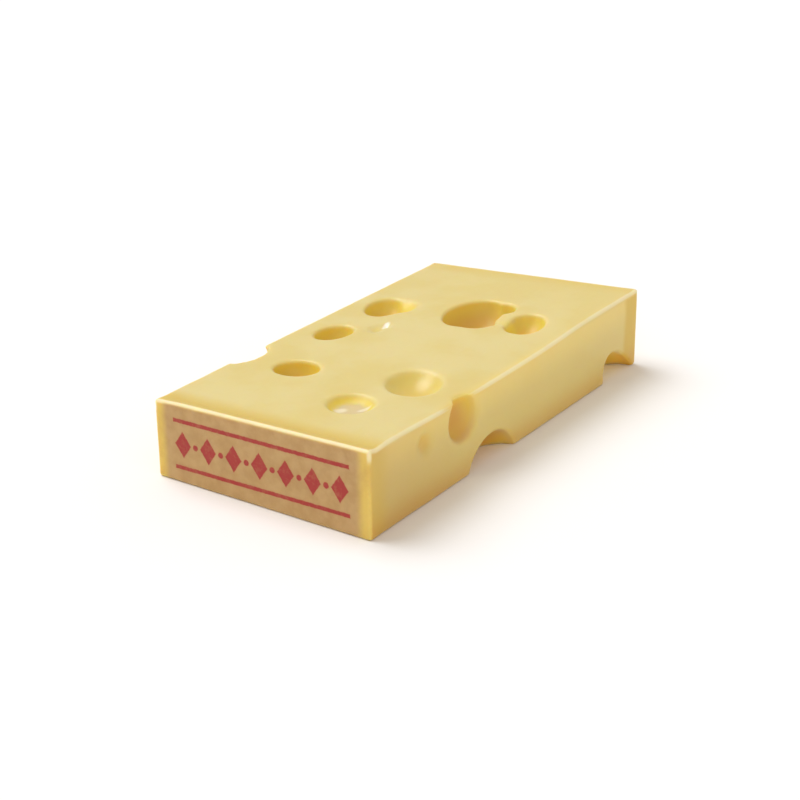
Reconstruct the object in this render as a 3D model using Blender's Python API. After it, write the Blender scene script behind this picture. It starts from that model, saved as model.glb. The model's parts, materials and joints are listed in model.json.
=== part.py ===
# Emmental block: a slab cut right through a wheel, rind at both short ends, with round eyes.
# Metres, +Z up. The block lies on its cut face, printed rind end towards -Y, thick side towards +X.
# The origin is at the middle of the underside.
import bpy
import bmesh
from math import atan2, cos, pi, radians, sin, sqrt
from mathutils import Matrix, Vector

# Block
WIDTH = 0.090            # from cut side to cut side
LENGTH = 0.183           # rind to rind, along the thick side
THIN_SIDE = 0.0287       # thickness along the left side
THICK_SIDE = 0.0313      # thickness along the right side
FRONT_SLANT = 0.0015     # how far the front end falls back on the left
BACK_SLANT = 0.0080      # how far the back end comes forward on the left
EDGE_ROUND = 0.0011
EDGE_STEPS = 3

# Low relief of the upper face
SAG_DEPTH = 0.0014       # the soft right edge sinks by this much
SAG_MIDDLE = -0.013
SAG_HALF = 0.062
SAG_REACH = 0.020        # and the dip fades out this far from the edge
FRONT_LIP = 0.0005       # dry rind stands up at the printed end
BACK_LIP = 0.0001        # and barely at the plain end
FRONT_GROOVE = 0.0004    # the paste just inside the printed end has shrunk
BACK_GROOVE = 0.0001
LIP_STATIONS = (0.0022, 0.0045, 0.0075, 0.0110)
SIDE_STATIONS = (0.002, 0.006, 0.011, 0.020)
GRID_STEP = 0.018

# Eyes
RIM_STOP = radians(24)   # a rim's arc ends here, short of lying flat
CLEARANCE = 0.004        # how far a cutter stands out of the block
MIN_SIDES = 16
SIDE_LENGTH = 0.0026     # aimed length of a facet around an eye's mouth

# Eyes of one face: place on the face, half length and half width of the mouth, turn, depth,
# and the round of the rim.
# Places are x, y on the upper face and the underside, and y, z on the sides.
UPPER_EYES = {
    "upper_deep_near": ((-0.0203, -0.0426), (0.0083, 0.0072), 10, 0.0085, 0.0010),
    "upper_deep_left": ((-0.0308, -0.0060), (0.0062, 0.0083), -8, 0.0075, 0.0010),
    "upper_oval": ((-0.0303, 0.0268), (0.0073, 0.0103), 12, 0.0080, 0.0012),
    "upper_oval_lobe": ((-0.0255, 0.0310), (0.0064, 0.0078), 12, 0.0030, 0.0018),
    "upper_large": ((0.0033, 0.0374), (0.0101, 0.0153), 0, 0.0130, 0.0012),
    "upper_large_far_lobe": ((0.0094, 0.0463), (0.0056, 0.0057), 0, 0.0080, 0.0012),
    "upper_large_near_lobe": ((0.0095, 0.0297), (0.0057, 0.0067), 0, 0.0088, 0.0012),
    "upper_small_far": ((0.0264, 0.0358), (0.0074, 0.0110), 12, 0.0078, 0.0012),
    "upper_bowl": ((0.0237, -0.0342), (0.0103, 0.0122), 30, 0.0062, 0.0020),
}
# Shallow hollows of the upper face: place, half sizes, turn, depth, share of the radius that is
# flat floor, and how steep the wall is at the mouth, from 0 for a soft slope to 1.
UPPER_HOLLOWS = {
    "upper_pan": ((0.0158, -0.0606), (0.0086, 0.0092), 62, 0.0028, 0.52, 1.0),
    "upper_bowl_slope": ((0.0256, -0.0328), (0.0124, 0.0140), 30, 0.0014, 0.10, 0.0),
    "upper_saddle": ((0.0168, 0.0345), (0.0050, 0.0085), 8, 0.0011, 0.10, 0.0),
    "upper_dimple": ((-0.0188, 0.0048), (0.0040, 0.0062), 10, 0.0011, 0.10, 0.0),
    "upper_dimple_far": ((-0.0178, 0.0092), (0.0026, 0.0032), 10, 0.0012, 0.10, 0.0),
}
RIGHT_EYES = {
    "right_shallow": ((-0.0598, 0.0224), (0.0047, 0.0044), 0, 0.0018, 0.0010),
}
LEFT_EYES = {
    "left_round": ((0.0180, 0.0150), (0.0072, 0.0066), 0, 0.0060, 0.0010),
    "left_shallow": ((0.0530, 0.0190), (0.0042, 0.0048), 0, 0.0018, 0.0010),
    "left_near": ((-0.0690, 0.0130), (0.0050, 0.0044), 0, 0.0040, 0.0010),
}
UNDER_EYES = {
    "under_near": ((-0.0120, -0.0560), (0.0092, 0.0078), 20, 0.0070, 0.0010),
    "under_left": ((-0.0260, 0.0080), (0.0066, 0.0072), 0, 0.0055, 0.0010),
    "under_middle": ((0.0120, 0.0060), (0.0100, 0.0086), -15, 0.0072, 0.0010),
    "under_far": ((-0.0120, 0.0620), (0.0080, 0.0094), 10, 0.0060, 0.0010),
}

# Eyes that break an edge of the block: centre, half axes, and turn about X.
EDGE_EYES = {
    "right_top_edge": ((0.0450, -0.0360, 0.0226), (0.0062, 0.0085, 0.0082), 10),
    "right_foot_near": ((0.0500, -0.0170, -0.0060), (0.0173, 0.0173, 0.0173), 0),
    "right_foot_far": ((0.0450, 0.0832, -0.0119), (0.0135, 0.0118, 0.0267), 35),
    "left_top_edge": ((-0.0450, -0.0400, 0.0235), (0.0074, 0.0116, 0.0093), 0),
    "left_foot": ((-0.0480, 0.0420, -0.0040), (0.0120, 0.0130, 0.0120), 0),
}


def clear_scene():
    for thing in list(bpy.data.objects):
        bpy.data.objects.remove(thing, do_unlink=True)


def smooth_step(value):
    value = min(max(value, 0.0), 1.0)
    return value * value * (3.0 - 2.0 * value)


def front_line(x):
    return -LENGTH / 2 + FRONT_SLANT * (0.5 - x / WIDTH)


def back_line(x):
    return LENGTH / 2 - BACK_SLANT * (0.5 - x / WIDTH)


def end_relief(gap, lip_height, groove_depth):
    """Height of the upper face near a rind end, by the distance from that end."""
    lip = lip_height * (1.0 - smooth_step(gap / LIP_STATIONS[1]))
    groove = groove_depth * smooth_step(gap / LIP_STATIONS[1]) * (1.0 - smooth_step(
        (gap - LIP_STATIONS[1]) / (LIP_STATIONS[3] - LIP_STATIONS[1])))
    return lip - groove


def upper_height(x, y):
    height = THIN_SIDE + (THICK_SIDE - THIN_SIDE) * (x / WIDTH + 0.5)
    along = abs(y - SAG_MIDDLE) / SAG_HALF
    if along < 1.0:
        inward = smooth_step(1.0 - (WIDTH / 2 - x) / SAG_REACH)
        height -= SAG_DEPTH * (1.0 - along ** 3) ** 1.5 * inward
    height += end_relief(y - front_line(x), FRONT_LIP, FRONT_GROOVE)
    return height + end_relief(back_line(x) - y, BACK_LIP, BACK_GROOVE)


def stations(low, high, insets):
    """Cuts across a side: close together at its ends, then evenly spaced."""
    inner_low = low + insets[-1]
    inner_high = high - insets[-1]
    count = max(1, round((inner_high - inner_low) / GRID_STEP))
    middle = [inner_low + (inner_high - inner_low) * i / count for i in range(count + 1)]
    return [low + inset for inset in insets[:-1]] + middle + [high - inset for inset in insets[:-1]]


def make_block(material):
    bm = bmesh.new()
    bmesh.ops.create_cube(bm, size=1.0)
    bmesh.ops.scale(bm, vec=(WIDTH, LENGTH, 1.0), verts=bm.verts)
    cuts = [(Vector((x, 0, 0)), Vector((1, 0, 0)))
            for x in stations(-WIDTH / 2, WIDTH / 2, SIDE_STATIONS)]
    cuts += [(Vector((0, y, 0)), Vector((0, 1, 0)))
             for y in stations(-LENGTH / 2, LENGTH / 2, LIP_STATIONS)]
    for point, normal in cuts:
        bmesh.ops.bisect_plane(bm, geom=bm.verts[:] + bm.edges[:] + bm.faces[:],
                               plane_co=point, plane_no=normal)
    for vert in bm.verts:
        x = vert.co.x
        share = vert.co.y / LENGTH + 0.5
        y = front_line(x) + share * (back_line(x) - front_line(x))
        z = upper_height(x, y) if vert.co.z > 0 else 0.0
        vert.co = (x, y, z)
    bmesh.ops.recalc_face_normals(bm, faces=bm.faces)
    mesh = bpy.data.meshes.new("cheese")
    bm.to_mesh(mesh)
    bm.free()
    mesh.materials.append(material)
    block = bpy.data.objects.new("cheese", mesh)
    bpy.context.collection.objects.link(block)
    rounding = block.modifiers.new("Edges", "BEVEL")
    rounding.width = EDGE_ROUND
    rounding.segments = EDGE_STEPS
    rounding.limit_method = "ANGLE"
    rounding.angle_limit = radians(50)
    return block


def hollow_profile(radius, depth, floor, steepness):
    """Half section of a shallow hollow, from the middle of its floor up to its mouth."""
    points = [(0.0, -depth)]
    steps = 7
    for i in range(steps):
        share = i / steps
        rise = steepness * share ** 2 + (1.0 - steepness) * smooth_step(share)
        points.append((radius * (floor + (1.0 - floor) * share), -depth * (1.0 - rise)))
    return points


def eye_profile(radius, depth, rim):
    """Half section of an eye, from its bottom up: a ball's arc, then the rounded rim."""
    centre = (depth * depth - radius * radius) / (2.0 * depth)
    ball = depth - centre
    rim = min(rim, 0.8 * depth)
    rim_x = sqrt((ball + rim) ** 2 - (centre - rim) ** 2)
    meet = atan2(rim_x, -(centre - rim))
    steps = max(4, round(ball * (pi - meet) / SIDE_LENGTH))
    points = []
    for i in range(steps + 1):
        turn = pi - (pi - meet) * i / steps
        points.append((ball * sin(turn), -centre + ball * cos(turn)))
    first = meet + pi
    last = 2.0 * pi - RIM_STOP
    arc = 3
    for i in range(1, arc + 1):
        turn = first + (last - first) * i / arc
        points.append((rim_x + rim * sin(turn), -rim + rim * cos(turn)))
    return points


def make_eye(name, radii, turn, frame, points):
    half_x, half_y = radii
    radius = mean_radius(radii)
    reach = points[-1][0] + (CLEARANCE * 0.12 - points[-1][1]) * cos(RIM_STOP) / sin(RIM_STOP)
    points += [(reach, CLEARANCE * 0.12), (reach, CLEARANCE)]
    bm = bmesh.new()
    verts = [bm.verts.new((x, 0.0, z)) for x, z in points]
    edges = [bm.edges.new(pair) for pair in zip(verts, verts[1:])]
    sides = max(MIN_SIDES, 2 * round(pi * radius / SIDE_LENGTH))
    bmesh.ops.spin(bm, geom=verts + edges, cent=(0, 0, 0), axis=(0, 0, 1), angle=2 * pi,
                   steps=sides, use_merge=True)
    bmesh.ops.remove_doubles(bm, verts=bm.verts, dist=1e-6)
    bmesh.ops.holes_fill(bm, edges=[edge for edge in bm.edges if edge.is_boundary], sides=0)
    bmesh.ops.scale(bm, vec=(half_x / radius, half_y / radius, 1.0), verts=bm.verts)
    bmesh.ops.recalc_face_normals(bm, faces=bm.faces)
    bm.transform(frame @ Matrix.Rotation(radians(turn), 4, "Z"))
    return finish_cutter(name, bm)


def mean_radius(radii):
    return sqrt(radii[0] * radii[1])


def make_edge_eye(name, centre, radii, turn):
    bm = bmesh.new()
    sides = max(MIN_SIDES, 2 * round(pi * max(radii) / SIDE_LENGTH / 1.3))
    bmesh.ops.create_uvsphere(bm, u_segments=sides, v_segments=sides // 2, radius=1.0)
    bmesh.ops.scale(bm, vec=radii, verts=bm.verts)
    bm.transform(Matrix.Translation(centre) @ Matrix.Rotation(radians(turn), 4, "X"))
    return finish_cutter(name, bm)


def finish_cutter(name, bm):
    mesh = bpy.data.meshes.new(name)
    bm.to_mesh(mesh)
    bm.free()
    cutter = bpy.data.objects.new(name, mesh)
    cutter.hide_render = True
    cutter.display_type = "WIRE"
    return cutter


def upper_frame(x, y):
    """Stands on the upper face, square to its slope."""
    slope = atan2(THICK_SIDE - THIN_SIDE, WIDTH)
    return Matrix.Translation((x, y, upper_height(x, y))) @ Matrix.Rotation(-slope, 4, "Y")


def under_frame(x, y):
    return Matrix.Translation((x, y, 0)) @ Matrix.Rotation(pi, 4, "X")


def right_frame(y, z):
    axes = Matrix(((0, 0, 1), (1, 0, 0), (0, 1, 0))).to_4x4()
    return Matrix.Translation((WIDTH / 2, y, z)) @ axes


def left_frame(y, z):
    axes = Matrix(((0, 0, -1), (-1, 0, 0), (0, 1, 0))).to_4x4()
    return Matrix.Translation((-WIDTH / 2, y, z)) @ axes


def make_eyes():
    eyes = bpy.data.collections.new("eyes")
    bpy.context.scene.collection.children.link(eyes)
    faces = ((UPPER_EYES, upper_frame), (UNDER_EYES, under_frame),
             (RIGHT_EYES, right_frame), (LEFT_EYES, left_frame))
    for table, frame in faces:
        for name, (place, radii, turn, depth, rim) in table.items():
            points = eye_profile(mean_radius(radii), depth, rim)
            eyes.objects.link(make_eye(name, radii, turn, frame(*place), points))
    for name, (place, radii, turn, depth, floor, steepness) in UPPER_HOLLOWS.items():
        points = hollow_profile(mean_radius(radii), depth, floor, steepness)
        eyes.objects.link(make_eye(name, radii, turn, upper_frame(*place), points))
    for name, (centre, radii, turn) in EDGE_EYES.items():
        eyes.objects.link(make_edge_eye(name, centre, radii, turn))
    return eyes


def paste_material():
    material = bpy.data.materials.new("pale_paste")
    material.use_nodes = True
    shader = material.node_tree.nodes["Principled BSDF"]
    shader.inputs["Base Color"].default_value = (0.79, 0.65, 0.28, 1.0)
    shader.inputs["Roughness"].default_value = 0.45
    shader.inputs["Metallic"].default_value = 0.0
    return material


def main():
    clear_scene()
    block = make_block(paste_material())
    cut = block.modifiers.new("Eyes", "BOOLEAN")
    cut.operation = "DIFFERENCE"
    cut.operand_type = "COLLECTION"
    cut.collection = make_eyes()
    cut.solver = "EXACT"
    block.data.shade_smooth()


main()
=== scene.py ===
import json
from math import atan2, cos, pi, radians, sin, sqrt

import bmesh
import bpy
import numpy as np
from mathutils import Matrix, Vector

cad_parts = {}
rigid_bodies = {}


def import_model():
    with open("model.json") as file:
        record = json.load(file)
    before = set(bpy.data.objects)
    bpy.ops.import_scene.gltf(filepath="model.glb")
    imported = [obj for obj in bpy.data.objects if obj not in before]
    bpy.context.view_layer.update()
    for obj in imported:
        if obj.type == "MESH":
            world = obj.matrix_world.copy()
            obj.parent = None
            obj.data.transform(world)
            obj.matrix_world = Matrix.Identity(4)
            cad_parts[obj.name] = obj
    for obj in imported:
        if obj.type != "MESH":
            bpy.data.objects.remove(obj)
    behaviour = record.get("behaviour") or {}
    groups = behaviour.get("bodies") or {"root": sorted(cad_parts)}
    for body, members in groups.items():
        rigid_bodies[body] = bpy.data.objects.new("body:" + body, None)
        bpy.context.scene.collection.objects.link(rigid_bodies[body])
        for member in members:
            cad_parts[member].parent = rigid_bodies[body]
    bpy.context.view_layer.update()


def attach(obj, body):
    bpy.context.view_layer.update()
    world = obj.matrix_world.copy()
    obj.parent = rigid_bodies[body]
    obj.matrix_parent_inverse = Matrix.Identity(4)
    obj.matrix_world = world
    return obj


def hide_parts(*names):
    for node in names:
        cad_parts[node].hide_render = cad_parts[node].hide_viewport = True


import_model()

# Emmental block, in metres: a slab cut through a wheel, rind at both short ends.
# The stamped rind faces -Y, the thicker cut side faces +X.
block = {
    "width": 0.090,
    "length": 0.183,
    "thinSide": 0.0287,
    "thickSide": 0.0313,
    "frontSlant": 0.0015,
    "backSlant": 0.0080,
    "edgeRound": 0.0009,
    "edgeSteps": 4,
    "outlineAngle": 50,      # edges sharper than this are rounded
    "gridStep": 0.012,
}
relief = {
    "sagDepth": 0.0014,      # the right upper edge is soft and sinks
    "sagMiddle": -0.013,
    "sagHalf": 0.062,
    "sagReach": 0.020,
    "frontLip": 0.0005,      # dry rind stands up at the stamped end
    "backLip": 0.0001,       # and barely at the plain end
    "frontGroove": 0.0004,
    "backGroove": 0.0001,
    "cornerFade": 0.8,       # share of the front relief lost at the left corner
    "cornerFrom": 0.034,
    "cornerReach": 0.009,
    "lipInsets": (0.0012, 0.0022, 0.0034, 0.0045, 0.0060, 0.0075, 0.0110),
    "sideInsets": (0.002, 0.006, 0.011, 0.015, 0.020),
    "lipEnd": 0.0045,
    "grooveEnd": 0.0110,
}
skin = {
    "voxel": 0.00048,
    "softening": 36,         # rounds every rim and edge of the paste
    "pasteSoftness": 0.60,   # share of it away from the rind
    "melting": 110,          # more of it where eyes run together
    "smoothFactor": 0.5,
    "weightSteps": 20,
    "rindSoftness": 0.25,    # and at the crisp rind ends
    "rindReach": 0.0060,
    "footSoftness": 0.45,    # and at the foot
    "footReach": 0.0040,
    "faces": 192000,
    "waveDepth": 0.00016,
    "waveSize": 0.013,
}

# Eyes: place on the face, half sizes of the mouth, turn, depth, and the round of the rim.
upperEyes = {
    "deepNear": ((-0.0203, -0.0426), (0.0083, 0.0072), 10, 0.0085, 0.0010),
    "deepLeft": ((-0.0308, -0.0060), (0.0062, 0.0083), -8, 0.0075, 0.0010),
    "oval": ((-0.0303, 0.0268), (0.0073, 0.0103), 12, 0.0080, 0.0012),
    "ovalLobe": ((-0.0255, 0.0310), (0.0064, 0.0078), 12, 0.0030, 0.0018),
    "large": ((0.0033, 0.0374), (0.0101, 0.0153), 0, 0.0130, 0.0012),
    "largeFarLobe": ((0.0094, 0.0463), (0.0056, 0.0057), 0, 0.0080, 0.0012),
    "largeNearLobe": ((0.0095, 0.0297), (0.0057, 0.0067), 0, 0.0088, 0.0012),
    "smallFar": ((0.0264, 0.0358), (0.0074, 0.0110), 12, 0.0078, 0.0012),
    "bowl": ((0.0237, -0.0342), (0.0103, 0.0122), 30, 0.0062, 0.0020),
}
# Shallow hollows of the upper face: place, half sizes, turn, depth, share of the radius that is
# flat floor, and how steep the wall is at the mouth, from 0 for a soft slope to 1.
upperHollows = {
    "pan": ((0.0158, -0.0606), (0.0086, 0.0092), 62, 0.0028, 0.52, 1.0),
    "bowlSlope": ((0.0256, -0.0328), (0.0124, 0.0140), 30, 0.0014, 0.10, 0.0),
    "saddle": ((0.0168, 0.0345), (0.0050, 0.0085), 8, 0.0011, 0.10, 0.0),
    "dimple": ((-0.0188, 0.0048), (0.0040, 0.0062), 10, 0.0011, 0.10, 0.0),
    "dimpleFar": ((-0.0178, 0.0092), (0.0026, 0.0032), 10, 0.0012, 0.10, 0.0),
}
rightEyes = {"shallow": ((-0.0598, 0.0224), (0.0047, 0.0044), 0, 0.0018, 0.0010)}
leftEyes = {
    "round": ((0.0180, 0.0150), (0.0072, 0.0066), 0, 0.0060, 0.0010),
    "shallowFar": ((0.0530, 0.0190), (0.0042, 0.0048), 0, 0.0018, 0.0010),
    "near": ((-0.0690, 0.0130), (0.0050, 0.0044), 0, 0.0040, 0.0010),
}
underEyes = {
    "underNear": ((-0.0120, -0.0560), (0.0092, 0.0078), 20, 0.0070, 0.0010),
    "underLeft": ((-0.0260, 0.0080), (0.0066, 0.0072), 0, 0.0055, 0.0010),
    "underMiddle": ((0.0120, 0.0060), (0.0100, 0.0086), -15, 0.0072, 0.0010),
    "underFar": ((-0.0120, 0.0620), (0.0080, 0.0094), 10, 0.0060, 0.0010),
}
# Eyes that break an edge: centre, half axes, turn about X.
edgeEyes = {
    "rightTop": ((0.0450, -0.0360, 0.0226), (0.0062, 0.0085, 0.0082), 10),
    "rightFootNear": ((0.0500, -0.0170, -0.0060), (0.0173, 0.0173, 0.0173), 0),
    "rightFootFar": ((0.0450, 0.0832, -0.0119), (0.0135, 0.0118, 0.0267), 35),
    "leftTop": ((-0.0450, -0.0400, 0.0235), (0.0074, 0.0116, 0.0093), 0),
    "leftFoot": ((-0.0480, 0.0420, -0.0040), (0.0120, 0.0130, 0.0120), 0),
}
rim = {"stop": 12, "arcSteps": 6, "hollowSteps": 20, "leastSteps": 8, "turnShare": 0.8, "rise": 0.0005,
       "standOut": 0.004, "sides": 64, "sideLength": 0.0006, "weld": 1e-7}
# Places where two eyes or an eye and an edge run into each other, and how far it shows.
soft = {
    "rightEdgeEye": ((0.0450, -0.0370, 0.0240), 0.0210),
    "rightEdgeCorner": ((0.0440, -0.0420, 0.0295), 0.0110),
    "rightShallow": ((0.0450, -0.0598, 0.0224), 0.0085),
    "bowl": ((0.0237, -0.0342, 0.0270), 0.0170),
    "ovalLobe": ((-0.0235, 0.0320, 0.0275), 0.0130),
    "largeNearLobe": ((0.0085, 0.0310, 0.0265), 0.0140),
    "largeFarLobe": ((0.0080, 0.0435, 0.0270), 0.0080),
    "saddle": ((0.0170, 0.0350, 0.0285), 0.0080),
}


def smoothStep(value):
    value = np.clip(value, 0.0, 1.0)
    return value * value * (3.0 - 2.0 * value)


def frontLine(x):
    return -block["length"] / 2 + block["frontSlant"] * (0.5 - x / block["width"])


def backLine(x):
    return block["length"] / 2 - block["backSlant"] * (0.5 - x / block["width"])


def endRelief(gap, lipHeight, grooveDepth):
    lip = lipHeight * (1.0 - smoothStep(gap / relief["lipEnd"]))
    fade = (gap - relief["lipEnd"]) / (relief["grooveEnd"] - relief["lipEnd"])
    return lip - grooveDepth * smoothStep(gap / relief["lipEnd"]) * (1.0 - smoothStep(fade))


def upperHeight(x, y):
    height = block["thinSide"] + (block["thickSide"] - block["thinSide"]) * (x / block["width"] + 0.5)
    along = np.clip(abs(y - relief["sagMiddle"]) / relief["sagHalf"], 0.0, 1.0)
    inward = smoothStep(1.0 - (block["width"] / 2 - x) / relief["sagReach"])
    height = height - relief["sagDepth"] * (1.0 - along ** 3) ** 1.5 * inward
    front = endRelief(y - frontLine(x), relief["frontLip"], relief["frontGroove"])
    corner = smoothStep((-x - relief["cornerFrom"]) / relief["cornerReach"])
    height = height + front * (1.0 - relief["cornerFade"] * corner)
    return height + endRelief(backLine(x) - y, relief["backLip"], relief["backGroove"])


def stations(half, insets):
    inner = half - insets[-1]
    count = round(2 * inner / block["gridStep"])
    middle = [-inner + 2 * inner * i / count for i in range(count + 1)]
    outer = [half - inset for inset in insets[:-1]]
    return [-place for place in outer] + middle + outer


def addObject(name, bm, collection=None):
    mesh = bpy.data.meshes.new(name)
    bm.to_mesh(mesh)
    bm.free()
    piece = bpy.data.objects.new(name, mesh)
    (collection or bpy.context.scene.collection).objects.link(piece)
    return piece


def makeSlab():
    bm = bmesh.new()
    bmesh.ops.create_cube(bm, size=1.0)
    bmesh.ops.scale(bm, vec=(block["width"], block["length"], 1.0), verts=bm.verts)
    cuts = [((x, 0, 0), (1, 0, 0)) for x in stations(block["width"] / 2, relief["sideInsets"])]
    cuts += [((0, y, 0), (0, 1, 0)) for y in stations(block["length"] / 2, relief["lipInsets"])]
    for point, normal in cuts:
        bmesh.ops.bisect_plane(bm, geom=bm.verts[:] + bm.edges[:] + bm.faces[:],
                               plane_co=point, plane_no=normal)
    for vert in bm.verts:
        x = vert.co.x
        share = vert.co.y / block["length"] + 0.5
        y = frontLine(x) + share * (backLine(x) - frontLine(x))
        vert.co = (x, y, upperHeight(x, y) if vert.co.z > 0 else 0.0)
    bmesh.ops.recalc_face_normals(bm, faces=bm.faces)
    outline = [edge for edge in bm.edges if edge.calc_face_angle(0.0) > radians(block["outlineAngle"])]
    bmesh.ops.bevel(bm, geom=outline, offset=block["edgeRound"], offset_type="OFFSET", affect="EDGES",
                    segments=block["edgeSteps"], profile=0.5, material=-1)
    return addObject("cheeseBlock", bm)


# Half section of a shallow hollow, from the middle of its floor up to its mouth.
def hollowProfile(radius, depth, floorShare, steepness):
    points = [(0.0, -depth)]
    for i in range(rim["hollowSteps"]):
        share = i / rim["hollowSteps"]
        rise = steepness * share ** 2 + (1.0 - steepness) * float(smoothStep(share))
        points.append((radius * (floorShare + (1.0 - floorShare) * share), -depth * (1.0 - rise)))
    return points


# Half section of an eye, from its bottom up: a ball's arc, then the rounded rim.
def eyeProfile(radius, depth, rimRound):
    turnIn = min(rimRound, rim["turnShare"] * depth)
    centre = (depth * depth - radius * radius) / (2.0 * depth)
    ball = depth - centre
    middle = (sqrt((ball + turnIn) ** 2 - (centre - turnIn) ** 2), -turnIn)
    meet = atan2(middle[0], -(centre - turnIn))
    steps = max(rim["leastSteps"], round(ball * (pi - meet) / rim["sideLength"]))
    points = []
    for i in range(steps + 1):
        turn = pi - (pi - meet) * i / steps
        points.append((ball * sin(turn), -centre + ball * cos(turn)))
    first = meet - pi
    for i in range(1, rim["arcSteps"] + 1):
        turn = first + (-radians(rim["stop"]) - first) * i / rim["arcSteps"]
        points.append((middle[0] + turnIn * sin(turn), middle[1] + turnIn * cos(turn)))
    return points


def meanRadius(radii):
    return sqrt(radii[0] * radii[1])


def makeEye(name, radii, turn, points, place, cutters):
    radius = meanRadius(radii)
    (beforeX, beforeZ), (lastX, lastZ) = points[-2:]
    reach = lastX + (rim["rise"] - lastZ) / (lastZ - beforeZ) * (lastX - beforeX)
    points += [(reach, rim["rise"]), (reach, rim["standOut"])]
    bm = bmesh.new()
    verts = [bm.verts.new((x, 0.0, z)) for x, z in points]
    edges = [bm.edges.new(pair) for pair in zip(verts, verts[1:])]
    bmesh.ops.spin(bm, geom=verts + edges, cent=(0, 0, 0), axis=(0, 0, 1), angle=2 * pi,
                   steps=rim["sides"], use_merge=True)
    bmesh.ops.remove_doubles(bm, verts=bm.verts, dist=rim["weld"])
    bmesh.ops.holes_fill(bm, edges=[edge for edge in bm.edges if edge.is_boundary], sides=0)
    bmesh.ops.scale(bm, vec=(radii[0] / radius, radii[1] / radius, 1.0), verts=bm.verts)
    bmesh.ops.recalc_face_normals(bm, faces=bm.faces)
    bm.transform(place @ Matrix.Rotation(radians(turn), 4, "Z"))
    addObject(name, bm, cutters)


def makeEdgeEye(name, centre, radii, turn, cutters):
    bm = bmesh.new()
    bmesh.ops.create_uvsphere(bm, u_segments=rim["sides"], v_segments=rim["sides"] // 2, radius=1.0)
    bmesh.ops.scale(bm, vec=radii, verts=bm.verts)
    bm.transform(Matrix.Translation(centre) @ Matrix.Rotation(radians(turn), 4, "X"))
    addObject(name, bm, cutters)


def upperPlace(x, y):
    slope = atan2(block["thickSide"] - block["thinSide"], block["width"])
    return Matrix.Translation((x, y, upperHeight(x, y))) @ Matrix.Rotation(-slope, 4, "Y")


def underPlace(x, y):
    return Matrix.Translation((x, y, 0)) @ Matrix.Rotation(pi, 4, "X")


def rightPlace(y, z):
    axes = Matrix(((0, 0, 1), (1, 0, 0), (0, 1, 0))).to_4x4()
    return Matrix.Translation((block["width"] / 2, y, z)) @ axes


def leftPlace(y, z):
    axes = Matrix(((0, 0, -1), (-1, 0, 0), (0, 1, 0))).to_4x4()
    return Matrix.Translation((-block["width"] / 2, y, z)) @ axes


def makeCutters():
    cutters = bpy.data.collections.new("eyeCutters")
    bpy.context.scene.collection.children.link(cutters)
    faces = ((upperEyes, upperPlace), (underEyes, underPlace),
             (rightEyes, rightPlace), (leftEyes, leftPlace))
    for eyes, place in faces:
        for name, (spot, radii, turn, depth, rimRound) in eyes.items():
            points = eyeProfile(meanRadius(radii), depth, rimRound)
            makeEye(name, radii, turn, points, place(*spot), cutters)
    for name, (spot, radii, turn, depth, floorShare, steepness) in upperHollows.items():
        points = hollowProfile(meanRadius(radii), depth, floorShare, steepness)
        makeEye(name, radii, turn, points, upperPlace(*spot), cutters)
    for name, (centre, radii, turn) in edgeEyes.items():
        makeEdgeEye(name, centre, radii, turn, cutters)
    return cutters


def bakeModifiers(piece):
    depsgraph = bpy.context.evaluated_depsgraph_get()
    fine = bpy.data.meshes.new_from_object(piece.evaluated_get(depsgraph))
    rough = piece.data
    piece.modifiers.clear()
    piece.data = fine
    fine.name = rough.name
    bpy.data.meshes.remove(rough)


def cutEyes(piece):
    cutters = makeCutters()
    cut = piece.modifiers.new("eyes", "BOOLEAN")
    cut.operation = "DIFFERENCE"
    cut.operand_type = "COLLECTION"
    cut.collection = cutters
    cut.solver = "EXACT"
    bakeModifiers(piece)
    for cutter in list(cutters.objects):
        bpy.data.meshes.remove(cutter.data)
    bpy.data.collections.remove(cutters)


# The places of a mesh's vertices, one array for each axis.
def vertexPlaces(mesh):
    places = np.zeros(len(mesh.vertices) * 3)
    mesh.vertices.foreach_get("co", places)
    return places.reshape(-1, 3).T


def weighSoftening(piece):
    x, y, z = vertexPlaces(piece.data)
    ends = np.minimum(y - frontLine(x), backLine(x) - y)
    weight = skin["rindSoftness"] + (1 - skin["rindSoftness"]) * smoothStep(ends / skin["rindReach"])
    weight *= skin["footSoftness"] + (1 - skin["footSoftness"]) * smoothStep(z / skin["footReach"])
    addGroup(piece, "paste", weight * skin["pasteSoftness"])
    weight = np.zeros(len(x))
    for (atX, atY, atZ), reach in soft.values():
        away = np.sqrt((x - atX) ** 2 + (y - atY) ** 2 + (z - atZ) ** 2)
        weight = np.maximum(weight, 1.0 - smoothStep(away / reach))
    addGroup(piece, "joins", weight)


def addGroup(piece, name, weight):
    group = piece.vertex_groups.new(name=name)
    for step in range(1, skin["weightSteps"] + 1):
        chosen = np.nonzero(np.round(weight * skin["weightSteps"]) == step)[0]
        group.add(chosen.tolist(), step / skin["weightSteps"], "REPLACE")


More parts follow.
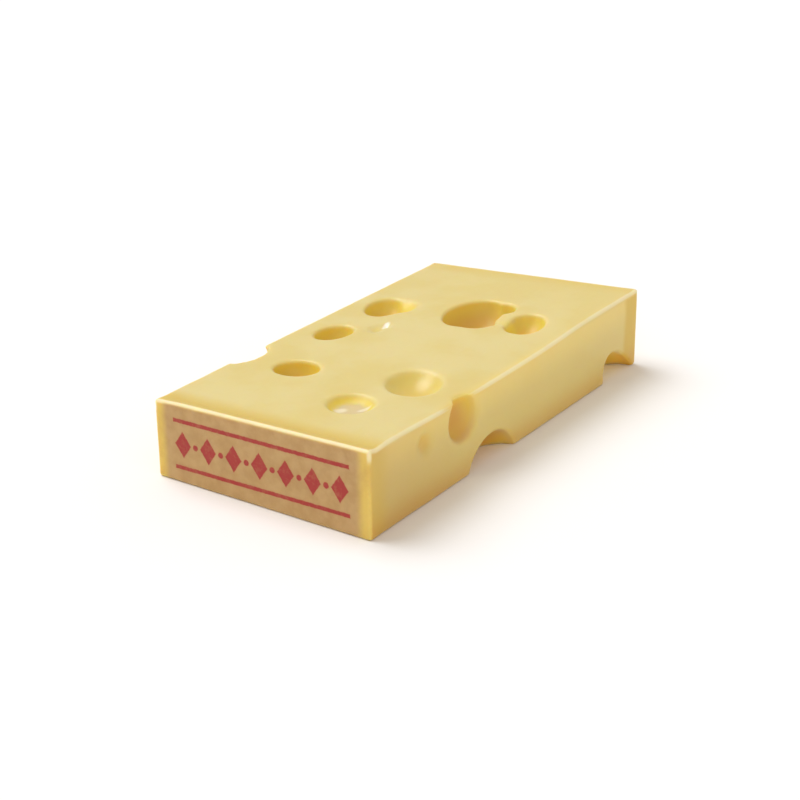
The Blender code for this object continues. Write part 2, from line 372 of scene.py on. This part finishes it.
def softenSkin(piece):
    remesh = piece.modifiers.new("skin", "REMESH")
    remesh.mode = "VOXEL"
    remesh.voxel_size = skin["voxel"]
    bakeModifiers(piece)
    print("skin remeshed,", len(piece.data.polygons), "faces")
    weighSoftening(piece)
    smooth = piece.modifiers.new("soften", "SMOOTH")
    smooth.factor = skin["smoothFactor"]
    smooth.iterations = skin["softening"]
    smooth.vertex_group = "paste"
    melt = piece.modifiers.new("melt", "SMOOTH")
    melt.factor = skin["smoothFactor"]
    melt.iterations = skin["melting"]
    melt.vertex_group = "joins"
    waves = bpy.data.textures.new("waves", "CLOUDS")
    waves.noise_scale = skin["waveSize"]
    displace = piece.modifiers.new("waves", "DISPLACE")
    displace.texture = waves
    displace.texture_coords = "LOCAL"
    displace.strength = skin["waveDepth"]
    thin = piece.modifiers.new("thin", "DECIMATE")
    thin.ratio = skin["faces"] / (2 * len(piece.data.polygons))
    bakeModifiers(piece)
    piece.vertex_groups.clear()
    piece.data.shade_smooth()
    print("skin finished,", len(piece.data.polygons), "faces")


# Stores on each vertex how deep it lies inside the plain block, and how near an outer edge, in
# millimetres: its distances from the nearest and second nearest of the block's six faces.
def measureSkin(piece):
    x, y, z = vertexPlaces(piece.data)
    half = block["width"] / 2
    gaps = np.sort(np.array([half - x, half + x, z, upperHeight(x, y) - z,
                             y - frontLine(x), backLine(x) - y]), axis=0)
    for name, values in (("hollow", gaps[0]), ("edgeGap", gaps[1])):
        layer = piece.data.attributes.new(name, "FLOAT", "POINT")
        layer.data.foreach_set("value", np.clip(values * 1000, 0.0, 100.0).astype(np.float32))


def makeCheese():
    piece = makeSlab()
    cutEyes(piece)
    print("eyes cut")
    softenSkin(piece)
    measureSkin(piece)
    piece.data.materials.clear()
    piece.data.materials.append(cheeseMaterial())
    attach(piece, "root")
    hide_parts("cheese")
    return piece


# Short calls for building a material: every value may be a number or a socket.
class NodeDesk:

    def __init__(self, material):
        self.tree = material.node_tree

    def add(self, kind, inputs=None, **settings):
        node = self.tree.nodes.new(kind)
        for name, value in settings.items():
            setattr(node, name, value)
        for name, value in (inputs or {}).items():
            self.feed(node.inputs[name], value)
        return node

    def feed(self, socket, value):
        if isinstance(value, bpy.types.NodeSocket):
            self.tree.links.new(value, socket)
        else:
            socket.default_value = value

    def maths(self, operation, first, second=0.0, third=0.0):
        return self.add("ShaderNodeMath", {0: first, 1: second, 2: third}, operation=operation).outputs[0]

    def add2(self, first, second):
        return self.maths("ADD", first, second)

    def less(self, first, second):
        return self.maths("SUBTRACT", first, second)

    def times(self, first, second):
        return self.maths("MULTIPLY", first, second)

    # Smooth step of a value between two limits, which may fall as well as rise.
    def ramp(self, value, low, high, toLow=0.0, toHigh=1.0):
        if low > high:
            low, high, toLow, toHigh = high, low, toHigh, toLow
        node = self.add("ShaderNodeMapRange", {"Value": value, "From Min": low, "From Max": high,
                                               "To Min": toLow, "To Max": toHigh},
                        interpolation_type="SMOOTHSTEP")
        return node.outputs["Result"]

    def noise(self, place, scale, detail=2.0, roughness=0.5, stretch=None):
        if stretch:
            place = self.add("ShaderNodeMapping", {"Vector": place, "Scale": stretch}).outputs[0]
        node = self.add("ShaderNodeTexNoise", {"Vector": place, "Scale": scale, "Detail": detail,
                                               "Roughness": roughness})
        return node.outputs["Fac"]

    def blend(self, share, under, over, kind="MIX"):
        node = self.add("ShaderNodeMix", data_type="RGBA", blend_type=kind)
        for socket, value in ((node.inputs[0], share), (node.inputs[6], under), (node.inputs[7], over)):
            self.feed(socket, value)
        return node.outputs[2]

    def tint(self, share, under, over):
        return self.blend(share, under, over, "MULTIPLY")

    # A noise value turned into a swing about zero, of this size from end to end.
    def swing(self, noise, size):
        return self.times(self.less(noise, 0.5), size)

    def away(self, place, centre):
        node = self.add("ShaderNodeVectorMath", {0: place, 1: centre}, operation="DISTANCE")
        return node.outputs["Value"]


# A colour given as picture values from 0 to 255.
def tone(red, green, blue):
    linear = [v / 255 / 12.92 if v / 255 < 0.04045 else ((v / 255 + 0.055) / 1.055) ** 2.4
              for v in (red, green, blue)]
    return (*linear, 1.0)


paste = {
    "pale": tone(222, 207, 141),
    "rich": tone(219, 201, 126),
    "cutSide": tone(222, 200, 116),
    "cutSideDark": tone(206, 174, 94),
    "eyeShadeTint": (1.09, 1.03, 0.40, 1.0),
    "deepShadeTint": (0.93, 0.73, 0.80, 1.0),
    "footShadeTint": (1.0, 0.86, 0.74, 1.0),
    "lightTint": (1.10, 1.10, 1.02, 1.0),
    "rindStain": tone(213, 183, 82),
    "backStain": tone(217, 184, 62),
    "dryHighlightEdge": tone(242, 236, 204),
    "wheySheen": tone(210, 193, 158),
    "paintedGlint": tone(253, 248, 232),
    "sideShare": 0.85,
    "sideRise": 0.9,         # how much height counts in the shade along the side
    "stainSwing": 5.0,
    "bowlPale": 0.50,        # shares of the painted eye shade that the bowl, the large eye and a side lose
    "largePale": 0.22,
    "sidePale": 0.35,
    "sideHollow": 0.55,
    "wheySheenShare": 0.8,
    "dryHighlightShare": 0.68,
    "roughness": 0.40,
    "eyeRoughness": 0.30,
    "eyeRougher": 0.15,      # added in every eye but the bowl
    "grainRoughness": 0.10,
    "grainRelief": 0.5,
    "cutRelief": 0.5,
    "bumpStrength": 0.5,
    "bumpDepth": 0.00013,
    "glow": {"Subsurface Weight": 0.85, "Subsurface Radius": (1.0, 0.7, 0.34), "Subsurface Scale": 0.0038},
}
# Painted light and shade in single hollows and arches: place, reach, core, tint. Tints below one darken a
# spot like shade, tints above one brighten it like light.
spotTints = {
    "shallow": ((0.0445, -0.0598, 0.0224), 0.0048, 0.0015, (1.03, 0.92, 0.68, 1.0)),
    "edgeEye": ((0.0410, -0.0365, 0.0200), 0.0100, 0.0040, (0.97, 0.82, 0.98, 1.0)),
    "nearArch": ((0.0420, -0.0170, 0.0030), 0.0130, 0.0080, (0.94, 0.76, 0.90, 1.0)),
    "farArch": ((0.0400, 0.0760, 0.0040), 0.0140, 0.0080, (1.20, 1.20, 1.50, 1.0)),
    "smallFarNear": ((0.0300, 0.0305, 0.0235), 0.0100, 0.0035, (0.94, 0.84, 0.66, 1.0)),
    "smallFarLeft": ((0.0200, 0.0350, 0.0270), 0.0055, 0.0020, (1.06, 1.12, 0.85, 1.0)),
    "largeFar": ((0.0110, 0.0470, 0.0270), 0.0080, 0.0030, (1.06, 1.14, 1.05, 1.0)),
}
# Painted glints, small white highlights in the pan and the dimple, in millimetres: place, half sizes, turn,
# strength.
paintedGlints = {
    "panNear": ((12.8, -62.4), (2.4, 1.7), 60, 0.42),
    "panFar": ((19.4, -58.0), (1.0, 2.6), -25, 0.42),
    "dimple": ((-18.2, 9.8), (1.0, 3.0), 13, 0.9),
}
rind = {
    "skin": tone(222, 195, 96),
    "crust": tone(211, 178, 88),
    "ground": tone(183, 146, 92),
    "groundLight": tone(196, 161, 109),
    "red": tone(170, 44, 36),
    "ragged": 0.8,
    "frontRagged": 0.5,
    "roughness": 0.55,
    "weaveRelief": 1.2,
}
# Where a tone comes and goes: from and to, then for some the strengths at those two places.
# In millimetres, but richCloud and patches are noise values.
bands = {
    "richCloud": (0.35, 0.65),
    "richFar": (20.0, 80.0, 0.0, 0.5),
    "side": (39.0, 43.6),
    "sideDepth": (0.4, 2.6),
    "sideShade": (-5.0, -75.0, 0.0, 0.8),
    "sideLight": (15.0, 4.0),
    "farHalf": (20.0, 60.0),
    "farFade": (20.0, 60.0, 1.0, 0.3),
    "stain": (12.0, 3.5, 0.0, 0.85),
    "endStrip": (12.5, 8.5, 0.0, 0.9),
    "eye": (0.2, 1.8),
    "saddle": (3.0, 1.4),
    "deep": (2.0, 8.5),
    "deepHeight": (4.0, 14.0, 0.3, 1.0),
    "cut": (0.1, 0.8),
    "foot": (11.0, 0.0),
    "wheySheen": (1.4, 2.4),
    "paintedGlintDepth": (6.0, 5.0),
    "rind": (1.1, 0.6),
    "patches": (0.35, 0.80),
    "dryHighlightEdge": (1.6, 0.6),
    "dryHighlightHollow": (0.9, 0.3),
    "dryHighlightDepth": (5.0, 2.0, 0.05, 1.0),
    "front": (0.9, 0.5),
}
# Round masks on hollows of the upper face, in metres: where each ends and where it is full.
masks = {
    "bowl": (0.0145, 0.0115),
    "large": (0.0200, 0.0160),
    "saddle": (0.0078, 0.0050),
    "pan": (0.0068, 0.0042),
    "dimple": (0.0080, 0.0030),
}
maskEdge = {"sunk": 0.002, "swing": 0.0024}
# Noise: scale, detail, roughness and stretch.
noises = {
    "cloud": (45.0, 3.0),
    "grain": (520.0, 3.0),
    "cuts": (160.0, 2.0, 0.5, (6.0, 0.6, 6.0)),      # faint lines left by the knife
    "weave": (900.0, 2.0, 0.5, (1.0, 1.0, 0.35)),
    "patches": (170.0, 4.0, 0.6),
    "maskEdge": (420.0, 2.0),
    "stampAcross": (700.0, 3.0, 0.6),
    "stampUp": (640.0, 3.0, 0.6, (1.0, 1.0, 1.1)),
    "blotch": (190.0, 4.0, 0.6),
    "wear": (330.0, 5.0, 0.7),
}
# The rind's ground and the plain border stamped on it, in millimetres.
stamp = {
    "groundLeft": (-42.6, -39.2),
    "groundRight": (42.8, 38.8),
    "groundTop": (0.15, 1.35),
    "groundShare": 0.95,
    "blotches": (0.3, 0.7),
    "climb": 0.0145,
    "middle": 15.0,
    "halfLength": 36.9,
    "step": 11.0,
    "lozenge": (3.5, 4.9),
    "dot": 1.1,
    "lineAway": 8.6,
    "lineHalf": 0.75,
    "edgeSwing": 0.60,
    "edgeSoft": 0.22,
    "wear": (0.28, 0.55, 0.80, 1.0),
}


def cheeseMaterial():
    material = bpy.data.materials.new("emmentalSkin")
    material.use_nodes = True
    desk = NodeDesk(material)
    shader = desk.tree.nodes["Principled BSDF"]
    place = desk.add("ShaderNodeTexCoord").outputs["Object"]
    axes = desk.add("ShaderNodeSeparateXYZ", {0: place}).outputs
    x, y, z = (desk.times(axis, 1000.0) for axis in axes)
    hollow = desk.add("ShaderNodeAttribute", attribute_name="hollow").outputs["Fac"]
    edgeGap = desk.add("ShaderNodeAttribute", attribute_name="edgeGap").outputs["Fac"]
    width, length, thin, thick, frontSlant, backSlant = (1000.0 * block[key] for key in (
        "width", "length", "thinSide", "thickSide", "frontSlant", "backSlant"))
    leftward = desk.less(0.5, desk.times(x, 1 / width))
    frontGap = desk.less(desk.add2(y, length / 2), desk.times(leftward, frontSlant))
    backGap = desk.less(desk.less(length / 2, y), desk.times(leftward, backSlant))
    endGap = desk.maths("MINIMUM", frontGap, backGap)
    depth = desk.less(desk.add2(desk.times(x, (thick - thin) / width), (thin + thick) / 2), z)
    onSide = desk.times(desk.ramp(desk.maths("ABSOLUTE", x), *bands["side"]),
                        desk.ramp(depth, *bands["sideDepth"]))
    farHalf = desk.ramp(y, *bands["farHalf"])
    cloud, grain, cuts, weave, patches = (desk.noise(place, *noises[key]) for key in (
        "cloud", "grain", "cuts", "weave", "patches"))
    bowl, large, saddle, pan, wet = (nearMask(desk, place, name) for name in masks)

    # Paste, its cut sides with painted shade and light, and the stains towards the rind.
    richer = desk.add2(desk.ramp(cloud, *bands["richCloud"]), desk.ramp(y, *bands["richFar"]))
    colour = desk.blend(desk.maths("MINIMUM", richer, 1.0), paste["pale"], paste["rich"])
    # Painted shade: the cut side darkens towards the near end and towards its foot.
    along = desk.add2(y, desk.times(z, paste["sideRise"]))
    sideTone = desk.blend(desk.ramp(along, *bands["sideShade"]), paste["cutSide"], paste["cutSideDark"])
    colour = desk.blend(desk.times(onSide, paste["sideShare"]), colour, sideTone)
    # Painted light: the cut side is lighter towards its top.
    light = desk.times(onSide, desk.ramp(depth, *bands["sideLight"]))
    colour = desk.tint(light, colour, paste["lightTint"])
    wavy = desk.add2(endGap, desk.swing(cloud, paste["stainSwing"]))
    stained = desk.times(desk.ramp(wavy, *bands["stain"]),
                         desk.maths("MAXIMUM", onSide, desk.ramp(y, *bands["farFade"])))
    endStrip = desk.times(desk.times(desk.ramp(wavy, *bands["endStrip"]), onSide), farHalf)
    stain = desk.blend(farHalf, paste["rindStain"], paste["backStain"])
    colour = desk.blend(desk.maths("MAXIMUM", stained, endStrip), colour, stain)

    # Eyes and hollows, with painted shade inside them.
    hollowSeen = desk.times(hollow, desk.less(1.0, desk.times(onSide, paste["sideHollow"])))
    inSaddle = desk.times(saddle, desk.ramp(hollow, *bands["saddle"]))
    inEye = desk.times(desk.ramp(hollowSeen, *bands["eye"]), desk.less(1.0, inSaddle))
    pale = desk.maths("MAXIMUM", desk.times(bowl, paste["bowlPale"]), desk.times(large, paste["largePale"]))
    tinted = desk.less(1.0, desk.maths("MAXIMUM", pale, desk.times(onSide, paste["sidePale"])))
    # Painted shade: eye walls tinted a deeper, more saturated yellow, and darker still with depth.
    colour = desk.tint(desk.times(inEye, tinted), colour, paste["eyeShadeTint"])
    deep = desk.times(desk.ramp(hollow, *bands["deep"]), desk.ramp(z, *bands["deepHeight"]))
    colour = desk.tint(desk.times(deep, tinted), colour, paste["deepShadeTint"])
    cut = desk.ramp(hollow, *bands["cut"])
    # Painted light and shade on single hollows and arches.
    for centre, reach, core, paintedTint in spotTints.values():
        near = desk.ramp(desk.away(place, centre), reach, core)
        colour = desk.tint(desk.times(near, cut), colour, paintedTint)
    # Painted shade: the paste darkens and warms towards the foot.
    colour = desk.tint(desk.ramp(z, *bands["foot"]), colour, paste["footShadeTint"])
    # Pale milky floor of the pan: partly a whey film, partly a painted reflection.
    wheySheenMask = desk.times(pan, desk.ramp(hollow, *bands["wheySheen"]))
    colour = desk.blend(desk.times(wheySheenMask, paste["wheySheenShare"]), colour, paste["wheySheen"])
    # Painted glints: small white highlights in the pan and the dimple.
    for paintedGlint in paintedGlints.values():
        seen = desk.times(paintedGlintMask(desk, x, y, *paintedGlint), desk.ramp(depth, *bands["paintedGlintDepth"]))
        colour = desk.blend(seen, colour, paste["paintedGlint"])

    # Rind, dry edges with a painted highlight along them, and the stamp.
    onRind = desk.ramp(desk.add2(endGap, desk.swing(grain, rind["ragged"])), *bands["rind"])
    mottled = desk.blend(desk.ramp(patches, *bands["patches"]), rind["skin"], rind["crust"])
    colour = desk.blend(onRind, colour, mottled)
    # Pale outer edges: partly dry paste, partly a painted highlight where the rounded edges catch the
    # light.
    dryHighlight = desk.times(desk.ramp(edgeGap, *bands["dryHighlightEdge"]), desk.ramp(hollow, *bands["dryHighlightHollow"]))
    dryHighlight = desk.times(dryHighlight, desk.ramp(depth, *bands["dryHighlightDepth"]))
    colour = desk.blend(desk.times(dryHighlight, paste["dryHighlightShare"]), colour, paste["dryHighlightEdge"])
    onFront = desk.ramp(desk.add2(frontGap, desk.swing(grain, rind["frontRagged"])), *bands["front"])
    colour = stampColour(desk, place, x, z, depth, onFront, colour)
    desk.feed(shader.inputs["Base Color"], colour)

    # Gloss and fine relief.
    shiny = desk.maths("MAXIMUM", inEye, wet)
    plain = desk.times(desk.less(1.0, shiny), desk.less(1.0, onRind))
    rough = desk.add2(paste["eyeRoughness"],
                      desk.times(plain, paste["roughness"] - paste["eyeRoughness"]))
    rough = desk.add2(rough, desk.times(onRind, rind["roughness"] - paste["eyeRoughness"]))
    dullEye = desk.times(inEye, desk.less(1.0, bowl))
    rough = desk.add2(rough, desk.times(dullEye, paste["eyeRougher"]))
    rough = desk.add2(rough, desk.swing(grain, paste["grainRoughness"]))
    desk.feed(shader.inputs["Roughness"], rough)
    fine = desk.add2(desk.times(grain, paste["grainRelief"]),
                     desk.times(cuts, desk.times(plain, paste["cutRelief"])))
    fine = desk.add2(fine, desk.times(weave, desk.times(onRind, rind["weaveRelief"])))
    bump = desk.add("ShaderNodeBump", {"Height": fine, "Strength": paste["bumpStrength"],
                                       "Distance": paste["bumpDepth"]})
    desk.feed(shader.inputs["Normal"], bump.outputs["Normal"])
    for name, value in paste["glow"].items():
        shader.inputs[name].default_value = value
    return material


# One inside the inner distance from a hollow of the upper face, and nothing beyond the outer one.
def nearMask(desk, place, name):
    spot = {**upperEyes, **upperHollows}[name][0]
    centre = (*spot, float(upperHeight(*spot)) - maskEdge["sunk"])
    ragged = desk.add2(desk.away(place, centre),
                       desk.swing(desk.noise(place, *noises["maskEdge"]), maskEdge["swing"]))
    return desk.ramp(ragged, *masks[name])


# A soft oval in the plane of the upper face, its long side turned from +Y towards -X.
def paintedGlintMask(desk, x, y, spot, halves, turn, share):
    sideways, along = desk.less(x, spot[0]), desk.less(y, spot[1])
    cosine, sine = cos(radians(turn)), sin(radians(turn))
    first = desk.add2(desk.times(sideways, cosine), desk.times(along, sine))
    second = desk.less(desk.times(along, cosine), desk.times(sideways, sine))
    first, second = desk.times(first, 1 / halves[0]), desk.times(second, 1 / halves[1])
    away = desk.maths("SQRT", desk.add2(desk.times(first, first), desk.times(second, second)))
    return desk.ramp(away, 1.4, 0.5, 0.0, share)


# The front rind: its ground, and a plain border of lines, lozenges and dots.
# Distances are in millimetres, negative inside a shape.
def stampColour(desk, place, x, z, depth, onFront, base):
    def repeat(value, shift=0.0):
        return desk.maths("WRAP", desk.less(value, shift), stamp["step"] / 2, -stamp["step"] / 2)

    def lozenge(across, up, halfAcross, halfUp):
        share = desk.add2(desk.times(desk.maths("ABSOLUTE", across), 1 / halfAcross),
                          desk.times(desk.maths("ABSOLUTE", up), 1 / halfUp))
        return desk.times(desk.less(share, 1.0), halfAcross * halfUp / sqrt(halfAcross ** 2 + halfUp ** 2))

    def disc(across, up, radius):
        squares = desk.add2(desk.times(across, across), desk.times(up, up))
        return desk.less(desk.maths("SQRT", squares), radius)

    def band(value, middle, half):
        return desk.less(desk.maths("ABSOLUTE", desk.less(desk.maths("ABSOLUTE", value), middle)), half)

    acrossNoise, upNoise, blotch, wear = (desk.noise(place, *noises[key]) for key in (
        "stampAcross", "stampUp", "blotch", "wear"))
    across = desk.add2(x, desk.swing(acrossNoise, stamp["edgeSwing"]))
    up = desk.less(z, desk.add2(desk.times(x, stamp["climb"]), stamp["middle"]))
    up = desk.add2(up, desk.swing(upNoise, stamp["edgeSwing"]))

    field = desk.times(desk.ramp(across, *stamp["groundLeft"]), desk.ramp(across, *stamp["groundRight"]))
    field = desk.times(field, desk.ramp(depth, *stamp["groundTop"]))
    ground = desk.blend(desk.ramp(blotch, *stamp["blotches"]), rind["ground"], rind["groundLight"])
    grounded = desk.times(desk.times(onFront, field), stamp["groundShare"])
    colour = desk.blend(grounded, base, ground)

    border = desk.maths("MINIMUM", lozenge(repeat(across), up, *stamp["lozenge"]),
                        disc(repeat(across, stamp["step"] / 2), up, stamp["dot"]))
    border = desk.maths("MINIMUM", border, band(up, stamp["lineAway"], stamp["lineHalf"]))
    border = desk.maths("MAXIMUM", border, band(across, 0.0, stamp["halfLength"]))
    inked = desk.times(onFront, desk.ramp(border, stamp["edgeSoft"], -stamp["edgeSoft"]))
    return desk.blend(desk.times(inked, desk.ramp(wear, *stamp["wear"])), colour, rind["red"])


def makeStage():
    floor = {"size": 6.0, "colour": (0.93, 0.93, 0.93, 1.0), "roughness": 0.9}
    bm = bmesh.new()
    bmesh.ops.create_grid(bm, x_segments=1, y_segments=1, size=floor["size"])
    piece = addObject("floor", bm)
    material = bpy.data.materials.new("paleFloor")
    material.use_nodes = True
    shader = material.node_tree.nodes["Principled BSDF"]
    shader.inputs["Base Color"].default_value = floor["colour"]
    shader.inputs["Roughness"].default_value = floor["roughness"]
    shader.inputs["Specular IOR Level"].default_value = 0.0
    piece.data.materials.append(material)


# Lamps: where the light comes from, strength, colour and angle.
lamps = {
    "key": ((-0.80, -0.05, 1.28), 1.88, (0.96, 0.98, 1.0), 46),
    "fill": ((0.60, -0.60, 0.40), 0.5, (1.0, 0.92, 0.80), 70),
    "glint": ((-0.60, -0.10, 1.00), 0.13, (1.0, 1.0, 1.0), 16),
}
studio = {"sky": (1.0, 0.92, 0.87, 1.0), "skyStrength": 0.57, "backdrop": (1.0, 1.0, 1.0, 1.0)}


def addSun(name, origin, strength, colour, angle):
    lamp = bpy.data.lights.new(name, "SUN")
    lamp.energy = strength
    lamp.color = colour
    lamp.angle = radians(angle)
    sun = bpy.data.objects.new(name, lamp)
    sun.rotation_euler = Vector(origin).to_track_quat("Z", "Y").to_euler()
    bpy.context.scene.collection.objects.link(sun)


def makeLights():
    for name, (origin, strength, colour, angle) in lamps.items():
        addSun(name, origin, strength, colour, angle)
    world = bpy.data.worlds.new("studio")
    world.use_nodes = True
    bpy.context.scene.world = world
    tree = world.node_tree
    sky = tree.nodes["Background"]
    sky.inputs["Color"].default_value = studio["sky"]
    sky.inputs["Strength"].default_value = studio["skyStrength"]
    backdrop = tree.nodes.new("ShaderNodeBackground")
    backdrop.inputs["Color"].default_value = studio["backdrop"]
    path = tree.nodes.new("ShaderNodeLightPath")
    mix = tree.nodes.new("ShaderNodeMixShader")
    tree.links.new(path.outputs["Is Camera Ray"], mix.inputs[0])
    tree.links.new(sky.outputs[0], mix.inputs[1])
    tree.links.new(backdrop.outputs[0], mix.inputs[2])
    tree.links.new(mix.outputs[0], tree.nodes["World Output"].inputs["Surface"])


def makeCamera():
    view = {"aim": (-0.00213, -0.00506, 0.00788), "distance": 0.652, "turn": -34.24, "pitch": 22.73,
            "roll": -0.67, "lens": 80.0, "sensor": 36.0}
    turn, pitch, roll = (radians(view[key]) for key in ("turn", "pitch", "roll"))
    ahead = Vector((sin(turn) * cos(pitch), cos(turn) * cos(pitch), -sin(pitch)))
    level = Vector((cos(turn), -sin(turn), 0.0))
    above = level.cross(ahead)
    right = cos(roll) * level + sin(roll) * above
    up = cos(roll) * above - sin(roll) * level
    lens = bpy.data.cameras.new("view")
    lens.lens = view["lens"]
    lens.sensor_width = view["sensor"]
    camera = bpy.data.objects.new("view", lens)
    camera.matrix_world = Matrix.Translation(Vector(view["aim"]) - view["distance"] * ahead) @ Matrix(
        (right, up, -ahead)).transposed().to_4x4()
    bpy.context.scene.collection.objects.link(camera)
    bpy.context.scene.camera = camera


makeStage()
makeLights()
makeCamera()
print("stage, lights and camera ready")
makeCheese()
bpy.context.scene.view_settings.view_transform = "Standard"
